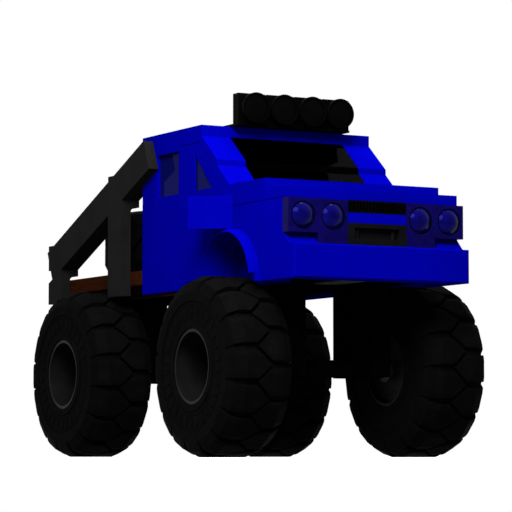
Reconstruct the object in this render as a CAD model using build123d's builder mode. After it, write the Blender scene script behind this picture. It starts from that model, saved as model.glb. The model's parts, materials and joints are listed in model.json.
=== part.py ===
from build123d import *
import os
from math import cos, radians, sin

# Rock crawler: slab-sided cab and timber deck on two axle pedestals and four tall lugged tyres.
# Millimetres. X runs forward, Y to the left, Z up, with the origin on the ground below the middle.
# Lengths named "back" are measured from the bumper's front face towards the rear.

# Stance
tyre_radius = 800.0
tyre_width = 630.0
half_track = 1005.0
front_axle_back = 1100.0
wheelbase = 2700.0
tyre_tuck = 60.0

# Body slabs
half_width = 900.0
wall = 80.0
shut_gap = 6.0
bumper_depth = 200.0
bumper_height = 300.0
hood_line = 700.0
hood_layer = 100.0
hood_step_back = 500.0
hood_hinge_rise = 6.0
hood_ear = 15.0
ear_reach = 70.0
hood_leaf_width = 50.0
hood_skin = 25.0
hood_rim = 60.0
hood_pocket_count = 3
screen_base_back = 1165.0
screen_lip_back = 1400.0
screen_lip_low = 1100.0
screen_lip_high = 1150.0
roof_front_back = 1700.0
roof_underside = 1400.0
roof_thickness = 100.0
roof_rail_drop = 55.0
cab_rear_back = 2900.0
pillar_width = 300.0
pillar_thickness = 91.0
screen_glass = 47.0
glass_thickness = 20.0
glass_inset = 40.0

# Doors and side windows
door_post = 30.0
door_length = 640.0
sill_height = 60.0
window_sill = 900.0
vent_front_margin = 70.0
vent_rear_margin = 225.0
vent_height = 360.0
quarter_window_front_margin = 80.0
quarter_window_rear_margin = 300.0
quarter_window_height = 400.0
rear_window_width = 900.0
hinge_barrel = 12.0
hinge_pin = 7.0
hinge_stand_off = 14.0
hinge_leaf = 38.0
hinge_height = 20.0
hinge_end_gap = 1.0
door_hinge_heights = (470.0, 850.0)
fit_clearance = 0.08

# Front wheel arch
arch_radius = 462.0
flare_radius = 495.0
flare_stand_out = 44.0
arch_panel_radius = 545.0
well_liner = 20.0
well_side_gap = 90.0

# Frame and axles
rail_width = 140.0
rail_height = 120.0
cross_member = 100.0
cross_member_rise = 20.0
nose_member_setback = 60.0
foot_member_gap = 110.0
cab_member_inset = 30.0
tail_member_inset = 125.0
floor_thickness = 30.0
firewall = 40.0
pedestal_gap = 70.0
pedestal_width = 200.0
pedestal_length = 700.0
pedestal_chamfer = 30.0
beam_length = 300.0
beam_height = 150.0
kingpin_inset = 70.0
kingpin_radius = 20.0
yoke_radius = 45.0
yoke_thickness = 25.0
yoke_gap = 100.0
thrust_gap = 1.0
spindle_radius = 45.0
spindle_recess = 12.5
drum_radius = 110.0
drum_width = 25.0
drum_gap = 7.5

# Wheels
lug_pairs = 16
lug_height = 45.0
lug_width = 240.0
lug_tip = 63.0
lug_shoulder = 65.0
lug_root_depth = 200.0
# Columns: inset from the sidewall, drop of the carcass and drop of the lugs below the tyre's radius
tyre_profile = ((0.0, 160.0, 133.0), (35.0, 85.0, 48.0), (130.0, lug_height, 0.0))
bead_ring = 60.0
shoulder_ring = 60.0
sidewall_band_depth = 8.0
rim_radius = 335.0
rim_wall = 17.0
rim_inset = 9.0
rim_lip = 10.0
rim_lip_depth = 20.0
disc_offset = 250.0
disc_thickness = 25.0
boss_radius = 75.0
boss_length = 90.0
bead_clearance = 0.3

# Nose
lamp_width = 300.0
lamp_depth = 100.0
inner_lamp_height = 400.0
outer_lamp_height = 300.0
nose_plate = 40.0
nose_bar_low = 200.0
nose_bar_high = 290.0
lamp_bowl_radius = 122.0
lamp_bowl_depth = 24.0
bumper_chamfer = 12.0
slot_count = 17
slot_width = 20.0
slot_depth = 60.0
slot_margin = 20.0
fairlead_low = 64.0
fairlead_high = 160.0
fairlead_frame = 70.0
roller_radius = 22.0

# Mirrors and roof lamps
mirror_size = 300.0
mirror_gap = 30.0
mirror_low = 500.0
mirror_glass_margin = 20.0
mirror_glass_depth = 8.0
tray_thickness = 20.0
tray_overhang = 140.0
tray_length = 340.0
roof_lamp_pitch = 300.0
roof_lamp_count = 4
roof_lamp_size = 280.0
roof_lamp_depth = 105.0
roof_lamp_reach = 100.0
roof_lamp_rim = 36.0
roof_lamp_neck = 90.0
roof_lamp_lip = 14.0
roof_lamp_dish = 20.0
roof_lamp_crown = 16.0

# Timber deck and its side racks
deck_top = 234.0
deck_board = 40.0
deck_gap = 5.0
deck_length = 1920.0
plank_count = 10
plank_groove = 8.0
plank_groove_depth = 12.0
edge_board = 50.0
edge_board_height = 134.0
bearer_centre = 640.0
bearer_width = 80.0
bearer_lead = 320.0
cross_bearer_count = 5
cross_bearer_width = 90.0
cross_bearer_inset = 50.0
rack_thickness = 100.0
rack_inner_thickness = 90.0
post_length = 300.0
front_post_setback = 245.0
post_rise = 250.0
post_tyre_gap = 15.0
knee_drop = 66.0
arm_depth = 300.0
arm_lead = 274.0
arm_front_drop = 89.0
arm_rear_inset = 26.6
arm_rear_rise = 155.0
spare_gap = 30.0

# Engine and cab fittings
engine_length = 500.0
engine_back = 495.0
engine_rise = 20.0
sump_half = 120.0
sump_height = 100.0
crankcase_half = 170.0
crankcase_height = 130.0
bank_rise = 150.0
bank_width = 90.0
valley_half = 90.0
mount_length = 90.0
mount_height = 60.0
cover_inset = 40.0
cover_width = 110.0
cover_height = 70.0
cover_corner = 20.0
plenum_length = 360.0
plenum_width = 150.0
plenum_height = 130.0
cleaner_radius = 165.0
cleaner_height = 60.0
manifold_radius = 35.0
manifold_length = 420.0
pulley_width = 40.0
crank_pulley_radius = 85.0
pump_pulley_radius = 60.0
bell_radius = 150.0
bell_length = 50.0
seat_depth = 660.0
seat_width = 1300.0
seat_height = 330.0
seat_back_height = 620.0
seat_cushion = 170.0
dash_depth = 260.0
dash_height = 200.0
steering_wheel_radius = 200.0
steering_wheel_tube = 16.0
steering_column_radius = 25.0
column_slope = 30.0
column_length = 260.0
driver_inset = 520.0
dash_chamfer = 45.0

# Places worked out from the sizes above
axle_height = tyre_radius
belly_height = 2 * tyre_radius - tyre_tuck
door_front_back = screen_lip_back + door_post
door_rear_back = door_front_back + door_length
deck_front_back = cab_rear_back + deck_gap
deck_rear_back = deck_front_back + deck_length
deck_height = belly_height + deck_top
arm_front = Vector(cab_rear_back - arm_lead, roof_underside - arm_front_drop)
arm_rear = Vector(deck_rear_back - arm_rear_inset, deck_top + arm_rear_rise)
arm_length = (arm_rear - arm_front).length
along_arm = (arm_rear - arm_front).normalized()
across_arm = Vector(-along_arm.Y, along_arm.X)
nose_x = (arm_rear.X + across_arm.X * arm_depth / 2) / 2
front_axle_x = nose_x - front_axle_back
rear_axle_x = front_axle_x - wheelbase
screen_slope = (roof_underside - screen_lip_high) / (roof_front_back - screen_lip_back)
rim_width = tyre_width - 2 * rim_inset
tyre_inner = half_track - tyre_width / 2
boss_middle = half_track - disc_offset + disc_thickness / 2
spindle_end = boss_middle + boss_length / 2 - spindle_recess
drum_inner = boss_middle - boss_length / 2 - drum_gap - drum_width
kingpin_offset = drum_inner - kingpin_inset
pedestal_outer = kingpin_offset - pedestal_gap
pedestal_inner = pedestal_outer - pedestal_width
pedestal_centre = (pedestal_inner + pedestal_outer) / 2
rail_inner = pedestal_centre - rail_width / 2
rail_outer = pedestal_centre + rail_width / 2
driver_offset = half_width - driver_inset
pieces = {}


def side_points(points):
    """Sketch points on a side view from (back, height above the belly) pairs."""
    return [(nose_x - back, belly_height + height) for back, height in points]


def side_plane(y):
    """Side-view plane at the given Y, whose extrusions run towards the right-hand side."""
    return Plane.XZ.offset(-y)


def slab(backs, sides, heights, mode=Mode.ADD):
    """Box between two distances back, two Y values and two heights above the belly."""
    x_middle = nose_x - sum(backs) / 2
    y_middle = sum(sides) / 2
    z_middle = belly_height + sum(heights) / 2
    with Locations((x_middle, y_middle, z_middle)):
        Box(abs(backs[1] - backs[0]), abs(sides[1] - sides[0]), abs(heights[1] - heights[0]), mode=mode)


def keep(name, part):
    """Label a finished piece and hold it for export."""
    part.label = name
    pieces[name] = part


def keep_pair(name, part):
    """Hold a right-hand piece and its mirror image on the left."""
    with BuildPart() as left:
        mirror(part, about=Plane.XZ)
    keep(name + "_right", part)
    keep(name + "_left", left.part)


# Ladder frame: two rails and their cross members
with BuildPart() as ladder_frame:
    for side in (-1, 1):
        rail_sides = (side * rail_inner, side * rail_outer)
        slab((bumper_depth, deck_rear_back - edge_board), rail_sides, (0, rail_height))
    for back in (
        bumper_depth + nose_member_setback,
        front_axle_back + pedestal_length / 2 + foot_member_gap,
        cab_rear_back - cab_member_inset,
        deck_rear_back - tail_member_inset,
    ):
        member_backs = (back - cross_member / 2, back + cross_member / 2)
        member_heights = (cross_member_rise, rail_height - cross_member_rise)
        slab(member_backs, (-rail_inner, rail_inner), member_heights)
keep("ladder_frame", ladder_frame.part)

# Axles: a low box beam between two tall pedestals, with steering yokes in front and spindles behind
for name, axle_x, steered in (("front_axle", front_axle_x, True), ("rear_axle", rear_axle_x, False)):
    with BuildPart() as axle:
        with Locations((axle_x, 0, axle_height)):
            Box(beam_length, 2 * pedestal_inner, beam_height)
        with BuildSketch(Plane.XY.offset(axle_height - beam_height / 2)):
            with Locations((axle_x, -pedestal_centre), (axle_x, pedestal_centre)):
                Rectangle(pedestal_length, pedestal_width)
            chamfer(vertices().filter_by(lambda v: abs(v.Y) > pedestal_centre), pedestal_chamfer)
        extrude(amount=belly_height - axle_height + beam_height / 2)
        if steered:
            for lug_z in (axle_height + yoke_gap / 2, axle_height - yoke_gap / 2 - yoke_thickness):
                with BuildSketch(Plane.XY.offset(lug_z)):
                    for side in (-1, 1):
                        with Locations((axle_x, side * (pedestal_outer + kingpin_offset) / 2)):
                            Rectangle(2 * yoke_radius, kingpin_offset - pedestal_outer)
                        with Locations((axle_x, side * kingpin_offset)):
                            Circle(yoke_radius)
                            Circle(kingpin_radius + fit_clearance, mode=Mode.SUBTRACT)
                extrude(amount=yoke_thickness)
        else:
            for side in (-1, 1):
                with BuildSketch(Plane((axle_x, side * pedestal_outer, axle_height), z_dir=(0, side, 0))):
                    Circle(spindle_radius)
                extrude(amount=spindle_end - pedestal_outer)
                with BuildSketch(Plane((axle_x, side * drum_inner, axle_height), z_dir=(0, side, 0))):
                    Circle(drum_radius)
                extrude(amount=drum_width)
    keep(name, axle.part)

# Steering knuckles: kingpin, spindle and brake drum
with BuildPart() as knuckle:
    with Locations((front_axle_x, -kingpin_offset, axle_height)):
        Cylinder(yoke_radius, yoke_gap - 2 * thrust_gap)
        Cylinder(kingpin_radius, yoke_gap + 2 * yoke_thickness)
    with BuildSketch(Plane((front_axle_x, -kingpin_offset, axle_height), z_dir=(0, -1, 0))):
        Circle(spindle_radius)
    extrude(amount=spindle_end - kingpin_offset)
    with BuildSketch(Plane((front_axle_x, -drum_inner, axle_height), z_dir=(0, -1, 0))):
        Circle(drum_radius)
    extrude(amount=drum_width)
keep_pair("steering_knuckle", knuckle.part)

# Rim: an open barrel with rolled lips and its disc far inboard, the outboard side facing -Y
with BuildPart() as rim:
    with BuildSketch(Plane.XY):
        with Locations((rim_radius - rim_wall / 2, 0)):
            Rectangle(rim_wall, rim_width)
        bore = spindle_radius + fit_clearance
        with Locations(((bore + rim_radius - rim_wall) / 2, disc_offset - disc_thickness / 2)):
            Rectangle(rim_radius - rim_wall - bore, disc_thickness)
        with Locations(((bore + boss_radius) / 2, disc_offset - disc_thickness / 2)):
            Rectangle(boss_radius - bore, boss_length)
        for edge in (-1, 1):
            with Locations((rim_radius - rim_wall - rim_lip / 2, edge * (rim_width - rim_lip_depth) / 2)):
                Rectangle(rim_lip, rim_lip_depth)
    revolve(axis=Axis.Y)

# Tyre: a faceted carcass with one flat per lug, two rows of pointed lugs that interlock, and sunk sidewalls
tyre_edge = tyre_width / 2
half_sections = []
for inset, carcass_drop, lug_drop in tyre_profile:
    half_sections.append((tyre_edge - inset, tyre_radius - carcass_drop, tyre_radius - lug_drop))
tyre_sections = [(-across, low, high) for across, low, high in half_sections] + half_sections[::-1]
flats = 2 * lug_pairs
flat_angle = 360 / flats
with BuildPart() as carcass:
    for across, carcass_radius, over_lugs in tyre_sections:
        with BuildSketch(Plane.XZ.offset(across)):
            RegularPolygon(carcass_radius, flats, major_radius=False, rotation=flat_angle / 2)
    loft(ruled=True)
with BuildPart() as lug_envelope:
    for across, carcass_radius, over_lugs in tyre_sections:
        with BuildSketch(Plane.XZ.offset(across)):
            RegularPolygon(over_lugs, flats, major_radius=False, rotation=flat_angle / 2)
    loft(ruled=True)
with BuildPart() as lugs:
    for flat in range(flats):
        turn = radians(flat * flat_angle)
        row = 1 if flat % 2 else -1
        outward = Vector(sin(turn), 0, -cos(turn))
        with BuildSketch(Plane(outward * (tyre_radius - lug_root_depth), x_dir=(0, row, 0), z_dir=outward)):
            Polygon(
                (-lug_tip, 0),
                (lug_shoulder, -lug_width / 2),
                (tyre_edge, -lug_width / 2),
                (tyre_edge, lug_width / 2),
                (lug_shoulder, lug_width / 2),
                align=None,
            )
        extrude(amount=tyre_radius)
    add(lug_envelope.part, mode=Mode.INTERSECT)
with BuildPart() as tyre:
    add(carcass.part)
    add(lugs.part)
    with BuildSketch(Plane.XZ.offset(-tyre_width)):
        RegularPolygon(rim_radius + bead_clearance, flats, major_radius=False, rotation=flat_angle / 2)
    extrude(amount=2 * tyre_width, mode=Mode.SUBTRACT)
    band_outer = tyre_radius - tyre_profile[0][1] - shoulder_ring
    for edge in (-1, 1):
        with BuildSketch(Plane.XZ.offset(edge * tyre_edge)):
            RegularPolygon(band_outer, flats, major_radius=False, rotation=flat_angle / 2)
            RegularPolygon(
                rim_radius + bead_ring,
                flats,
                major_radius=False,
                rotation=flat_angle / 2,
                mode=Mode.SUBTRACT,
            )
        extrude(amount=-edge * sidewall_band_depth, mode=Mode.SUBTRACT)

wheel_places = (
    ("front_right", front_axle_x, -1),
    ("front_left", front_axle_x, 1),
    ("rear_right", rear_axle_x, -1),
    ("rear_left", rear_axle_x, 1),
)
for place, axle_x, side in wheel_places:
    for label, source in (("rim", rim), ("tyre", tyre)):
        with BuildPart() as wheel_piece:
            with Locations(Location((axle_x, side * half_track, axle_height), (0, 0, 90 + 90 * side))):
                add(source.part)
        keep(label + "_" + place, wheel_piece.part)

# Spare wheel, flat on the deck with its open side up
spare_x = nose_x - deck_front_back - spare_gap - tyre_radius
spare_z = deck_height + tyre_width / 2
for label, source in (("spare_rim", rim), ("spare_tyre", tyre)):
    with BuildPart() as spare_piece:
        with Locations(Location((spare_x, 0, spare_z), (-90, 0, 0))):
            add(source.part)
    keep(label, spare_piece.part)

# Front fender: outer slab with its rocker, arch flare and wheel well
inner_face = half_width - wall
well_inner = tyre_inner - well_side_gap
arch_centre = (front_axle_x, belly_height)
door_axis_x = nose_x - door_front_back + shut_gap / 2
with BuildPart() as fender:
    with BuildSketch(side_plane(-inner_face)):
        Polygon(
            *side_points(
                (
                    (bumper_depth, 0),
                    (bumper_depth, hood_line),
                    (screen_base_back, hood_line),
                    (screen_base_back, window_sill),
                    (door_front_back - shut_gap, window_sill),
                    (door_front_back - shut_gap, sill_height),
                    (door_rear_back, sill_height),
                    (door_rear_back, 0),
                )
            ),
            align=None,
        )
        with Locations(arch_centre):
            Circle(arch_panel_radius)
            Circle(arch_radius, mode=Mode.SUBTRACT)
        with Locations((front_axle_x, belly_height - arch_panel_radius)):
            Rectangle(2 * arch_panel_radius, 2 * arch_panel_radius, mode=Mode.SUBTRACT)
    extrude(amount=wall)
    with BuildSketch(side_plane(-half_width)):
        with Locations(arch_centre):
            Circle(flare_radius)
            Circle(arch_radius, mode=Mode.SUBTRACT)
        with Locations((front_axle_x, belly_height - flare_radius)):
            Rectangle(2 * flare_radius, 2 * flare_radius, mode=Mode.SUBTRACT)
    extrude(amount=flare_stand_out)
    with BuildSketch(side_plane(-well_inner)):
        with Locations(arch_centre):
            Circle(arch_radius + well_liner)
            Circle(arch_radius, mode=Mode.SUBTRACT)
        with Locations((front_axle_x, belly_height - flare_radius)):
            Rectangle(2 * flare_radius, 2 * flare_radius, mode=Mode.SUBTRACT)
    extrude(amount=inner_face - well_inner)
    with BuildSketch(side_plane(-well_inner)):
        with Locations(arch_centre):
            Circle(arch_radius + well_liner)
        with Locations((front_axle_x, belly_height - flare_radius)):
            Rectangle(2 * flare_radius, 2 * flare_radius, mode=Mode.SUBTRACT)
    extrude(amount=-well_liner)
    for height in door_hinge_heights:
        with BuildSketch(Plane.XY.offset(belly_height + height - hinge_height)):
            with Locations((door_axis_x + hinge_leaf / 2, -half_width - hinge_stand_off / 2)):
                Rectangle(hinge_leaf, hinge_stand_off)
            with Locations((door_axis_x, -half_width - hinge_stand_off)):
                Circle(hinge_barrel)
        extrude(amount=hinge_height - hinge_end_gap)
        with BuildSketch(Plane.XY.offset(belly_height + height - hinge_height)):
            with Locations((door_axis_x, -half_width - hinge_stand_off)):
                Circle(hinge_pin)
        extrude(amount=2 * hinge_height)
keep_pair("fender", fender.part)

# Door with its three-cornered window
door_top = roof_underside - roof_rail_drop - shut_gap
pillar_foot = screen_lip_high + (door_front_back - shut_gap - screen_lip_back) * screen_slope
pillar_low = pillar_foot - pillar_thickness
door_shoulder = pillar_low - shut_gap / 2
vent_front_back = door_front_back + vent_front_margin
vent_rear_back = door_rear_back - vent_rear_margin
vent_outline = (
    (vent_front_back, window_sill),
    (vent_rear_back, window_sill),
    (vent_rear_back, window_sill + vent_height),
)
# The closing edge is bevelled by as much as its inner corner swings back past the outer one
swing_bevel = (wall + hinge_stand_off) ** 2 / (2 * door_length)
with BuildPart() as door:
    with BuildSketch(side_plane(-inner_face)):
        Polygon(
            *side_points(
                (
                    (door_front_back, sill_height + shut_gap),
                    (door_front_back, door_shoulder),
                    (door_front_back + (door_top - door_shoulder) / screen_slope, door_top),
                    (door_rear_back, door_top),
                    (door_rear_back, sill_height + shut_gap),
                )
            ),
            align=None,
        )
        with Locations(arch_centre):
            Circle(arch_panel_radius + shut_gap, mode=Mode.SUBTRACT)
        Polygon(*side_points(vent_outline), align=None, mode=Mode.SUBTRACT)
    extrude(amount=wall)
    closing_x = nose_x - door_rear_back
    with BuildSketch(Plane.XY.offset(belly_height)):
        Polygon(
            (closing_x, -half_width),
            (closing_x, -inner_face),
            (closing_x + swing_bevel, -inner_face),
            align=None,
        )
    extrude(amount=roof_underside, mode=Mode.SUBTRACT)
    for height in door_hinge_heights:
        with BuildSketch(Plane.XY.offset(belly_height + height)):
            with Locations((door_axis_x - hinge_leaf / 2, -half_width - hinge_stand_off / 2)):
                Rectangle(hinge_leaf, hinge_stand_off)
            with Locations((door_axis_x, -half_width - hinge_stand_off)):
                Circle(hinge_barrel)
                Circle(hinge_pin + fit_clearance, mode=Mode.SUBTRACT)
        extrude(amount=hinge_height)
keep_pair("door", door.part)
with BuildPart() as door_glass:
    with BuildSketch(side_plane(-half_width + glass_inset)):
        Polygon(*side_points(vent_outline), align=None)
    extrude(amount=glass_thickness)
keep_pair("door_glass", door_glass.part)

# Quarter panel behind the door, with its window
quarter_top = roof_underside - roof_rail_drop
quarter_window_backs = (
    door_rear_back + quarter_window_front_margin,
    cab_rear_back - quarter_window_rear_margin,
)
quarter_window_heights = (window_sill, window_sill + quarter_window_height)
with BuildPart() as quarter_panel:
    slab((door_rear_back + shut_gap, cab_rear_back), (-inner_face, -half_width), (0, quarter_top))
    slab(quarter_window_backs, (-inner_face, -half_width), quarter_window_heights, Mode.SUBTRACT)
keep_pair("quarter_panel", quarter_panel.part)

# Rear wall of the cab and its window
floor_height = rail_height + floor_thickness
rear_wall_backs = (cab_rear_back - wall, cab_rear_back)
rear_window_sides = (-rear_window_width / 2, rear_window_width / 2)
with BuildPart() as rear_wall:
    slab(rear_wall_backs, (-inner_face, inner_face), (floor_height, roof_underside))
    slab(rear_wall_backs, rear_window_sides, quarter_window_heights, Mode.SUBTRACT)
keep("rear_wall", rear_wall.part)

# Fixed glass of the quarter windows and the rear window
pane_outer = half_width - glass_inset
rear_pane_back = cab_rear_back - glass_inset
with BuildPart() as cab_glass:
    for side in (-1, 1):
        sides = (side * pane_outer, side * (pane_outer - glass_thickness))
        slab(quarter_window_backs, sides, quarter_window_heights)
    slab((rear_pane_back - glass_thickness, rear_pane_back), rear_window_sides, quarter_window_heights)
keep("cab_glass", cab_glass.part)

# Roof slab with a rail above each door
rail_front_back = door_front_back - shut_gap + (roof_underside - pillar_low) / screen_slope
with BuildPart() as roof:
    roof_heights = (roof_underside, roof_underside + roof_thickness)
    slab((roof_front_back, cab_rear_back), (-half_width, half_width), roof_heights)
    for side in (-1, 1):
        rail_sides = (side * inner_face, side * half_width)
        slab((rail_front_back, cab_rear_back), rail_sides, (quarter_top, roof_underside))
keep("roof", roof.part)

# Windscreen posts: broad sloped bars, each with the ears and pin of a hood hinge
hood_top = hood_line + 2 * hood_layer
hood_axis_back = screen_base_back - shut_gap - hinge_barrel
hood_axis_height = hood_top + hinge_barrel + hood_hinge_rise
screen_line = (
    (screen_base_back, window_sill),
    (screen_lip_back, screen_lip_low),
    (screen_lip_back, screen_lip_high),
    (roof_front_back, roof_underside),
)
hood_hinge_side = half_width - pillar_width / 2
with BuildPart() as windscreen_post:
    with BuildSketch(side_plane(-half_width + pillar_width)):
        Polygon(
            *side_points(
                screen_line
                + (
                    (rail_front_back, roof_underside),
                    (door_front_back - shut_gap, pillar_low),
                    (door_front_back - shut_gap, window_sill),
                )
            ),
            align=None,
        )
    extrude(amount=pillar_width)
    for ear in (-1, 1):
        middle = -hood_hinge_side + ear * (hood_leaf_width / 2 + shut_gap + hood_ear / 2)
        with BuildSketch(side_plane(middle + hood_ear / 2)):
            with Locations(*side_points(((hood_axis_back, hood_axis_height),))):
                Circle(hinge_barrel)
            with Locations(*side_points(((hood_axis_back + ear_reach / 2, hood_axis_height),))):
                Rectangle(ear_reach, 2 * hinge_barrel)
        extrude(amount=hood_ear)
    pin_length = hood_leaf_width + 2 * shut_gap + 2 * hood_ear
    with BuildSketch(side_plane(-hood_hinge_side + pin_length / 2)):
        with Locations(*side_points(((hood_axis_back, hood_axis_height),))):
            Circle(hinge_pin)
    extrude(amount=pin_length)
keep_pair("windscreen_post", windscreen_post.part)

# Windscreen between the posts
with BuildPart() as windscreen:
    with BuildSketch(side_plane(half_width - pillar_width)):
        inner_line = tuple((back + screen_glass, height) for back, height in screen_line)
        Polygon(*side_points(screen_line + inner_line[::-1]), align=None)
    extrude(amount=2 * (half_width - pillar_width))
keep("windscreen", windscreen.part)

# Hood: two stacked layers hollowed from below between its ribs, with hinge leaves at its rear edge
with BuildPart() as hood:
    hood_rear_back = screen_base_back - shut_gap
    low_heights = (hood_line + shut_gap, hood_line + hood_layer)
    slab((bumper_depth, hood_rear_back), (-half_width, half_width), low_heights)
    slab((hood_step_back, hood_rear_back), (-half_width, half_width), (hood_line + hood_layer, hood_top))
    pocket_pitch = (2 * half_width - hood_rim) / hood_pocket_count
    for pocket in range(hood_pocket_count):
        pocket_start = hood_rim - half_width + pocket * pocket_pitch
        pocket_sides = (pocket_start, pocket_start + pocket_pitch - hood_rim)
        for front_back, pocket_top in ((bumper_depth, hood_line + hood_layer), (hood_step_back, hood_top)):
            pocket_backs = (front_back + hood_rim, hood_rear_back - hood_rim)
            slab(pocket_backs, pocket_sides, (hood_line, pocket_top - hood_skin), Mode.SUBTRACT)
    for side in (-1, 1):
        with BuildSketch(side_plane(side * hood_hinge_side + hood_leaf_width / 2)):
            with Locations(*side_points(((hood_axis_back, hood_axis_height),))):
                Circle(hinge_barrel)
            leaf_height = (hood_top + hood_axis_height) / 2
            with Locations(*side_points(((hood_axis_back, leaf_height),))):
                Rectangle(2 * hinge_barrel, hood_axis_height - hood_top)
            with Locations(*side_points(((hood_axis_back, hood_axis_height),))):
                Circle(hinge_pin + fit_clearance, mode=Mode.SUBTRACT)
        extrude(amount=hood_leaf_width)
keep("hood", hood.part)

# Cab floor with the firewall at its front
well_end_back = front_axle_back + arch_radius + well_liner
foot_side = well_inner - well_liner - shut_gap
with BuildPart() as cab_floor:
    slab((screen_base_back, well_end_back + shut_gap), (-foot_side, foot_side), (rail_height, floor_height))
    slab((well_end_back + shut_gap, cab_rear_back), (-inner_face, inner_face), (rail_height, floor_height))
    firewall_backs = (screen_base_back, screen_base_back + firewall)
    well_top = arch_radius + well_liner + shut_gap
    slab(firewall_backs, (-foot_side, foot_side), (floor_height, window_sill))
    slab(firewall_backs, (-inner_face, inner_face), (well_top, window_sill))
keep("cab_floor", cab_floor.part)

# Front bumper slab
with BuildPart() as bumper:
    slab((0, bumper_depth), (-half_width, half_width), (0, bumper_height))
    chamfer(bumper.faces().sort_by(Axis.X)[-1].edges(), bumper_chamfer)
keep("front_bumper", bumper.part)

# Nose panel: mounting plate, sloped corners below the outer lamps and the bar across the grille
lamp_front_back = bumper_depth - lamp_depth
with BuildPart() as nose_panel:
    plate_backs = (bumper_depth, bumper_depth + nose_plate)
    slab(plate_backs, (-inner_face, inner_face), (bumper_height, hood_line))
    for side in (-1, 1):
        with BuildSketch(side_plane(side * (half_width - lamp_width / 2) + lamp_width / 2)):
            Polygon(
                *side_points(
                    (
                        (lamp_front_back, bumper_height),
                        (bumper_depth, bumper_height),
                        (bumper_depth, hood_line - outer_lamp_height),
                    )
                ),
                align=None,
            )
        extrude(amount=lamp_width)
    grille_half = half_width - 2 * lamp_width
    slab(
        (lamp_front_back, bumper_depth),
        (-grille_half, grille_half),
        (bumper_height + nose_bar_low, bumper_height + nose_bar_high),
    )
keep("nose_panel", nose_panel.part)

# Head lamps: a tall inner block and a shorter outer block on each side, each with a round bowl
lamp_rows = (
    (half_width - lamp_width / 2, outer_lamp_height),
    (half_width - 3 * lamp_width / 2, inner_lamp_height),
)
with BuildPart() as head_lamps:
    for side in (-1, 1):
        for centre, height in lamp_rows:
            sides = (side * centre - lamp_width / 2, side * centre + lamp_width / 2)
            slab((lamp_front_back, bumper_depth), sides, (hood_line - height, hood_line))
    for side in (-1, 1):
        for centre, height in lamp_rows:
            bowl_z = belly_height + hood_line - outer_lamp_height / 2
            with BuildSketch(Plane((nose_x - lamp_front_back, side * centre, bowl_z), z_dir=(1, 0, 0))):
                Circle(lamp_bowl_radius)
            extrude(amount=-lamp_bowl_depth, mode=Mode.SUBTRACT)
keep("head_lamps", head_lamps.part)

# Grille above the nose bar and fairlead below it
with BuildPart() as grille:
    grille_heights = (bumper_height + nose_bar_high, hood_line)
    slab((lamp_front_back, bumper_depth), (-grille_half, grille_half), grille_heights)
    slot_pitch = (2 * grille_half - slot_margin) / slot_count
    for slot in range(slot_count):
        middle = (slot - (slot_count - 1) / 2) * slot_pitch
        slab(
            (lamp_front_back, lamp_front_back + slot_depth),
            (middle - slot_width / 2, middle + slot_width / 2),
            (grille_heights[0] + slot_margin, grille_heights[1] - slot_margin),
            Mode.SUBTRACT,
        )
keep("grille", grille.part)
with BuildPart() as fairlead:
    fairlead_heights = (bumper_height, bumper_height + nose_bar_low)
    slab((lamp_front_back, bumper_depth), (-grille_half, grille_half), fairlead_heights)
    mouth_half = grille_half - fairlead_frame
    slab(
        (lamp_front_back, bumper_depth - nose_plate),
        (-mouth_half, mouth_half),
        (bumper_height + fairlead_low, bumper_height + fairlead_high),
        Mode.SUBTRACT,
    )
    roller_x = nose_x - lamp_front_back - lamp_depth / 2
    roller_z = belly_height + bumper_height + (fairlead_low + fairlead_high) / 2
    for side in (-1, 1):
        with Locations((roller_x, side * (mouth_half - 2 * roller_radius), roller_z)):
            Cylinder(roller_radius, fairlead_high - fairlead_low)
keep("fairlead", fairlead.part)

# Wing mirrors: wedge housings, each with its recessed glass seat at the back
mirror_rear_back = door_front_back - mirror_gap
mirror_front_back = mirror_rear_back - mirror_size
with BuildPart() as wing_mirrors:
    for side in (-1, 1):
        with BuildSketch(Plane.XY.offset(belly_height + mirror_low)):
            Polygon(
                (nose_x - mirror_front_back, side * half_width),
                (nose_x - mirror_rear_back, side * half_width),
                (nose_x - mirror_rear_back, side * (half_width + mirror_size)),
                align=None,
            )
        extrude(amount=mirror_size)
        glass_backs = (mirror_rear_back - mirror_glass_depth, mirror_rear_back)
        glass_inner = half_width + mirror_glass_margin
        glass_outer = half_width + mirror_size - mirror_glass_margin
        glass_heights = (mirror_low + mirror_glass_margin, mirror_low + mirror_size - mirror_glass_margin)
        slab(glass_backs, (side * glass_inner, side * glass_outer), glass_heights, Mode.SUBTRACT)
keep("wing_mirrors", wing_mirrors.part)

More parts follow.
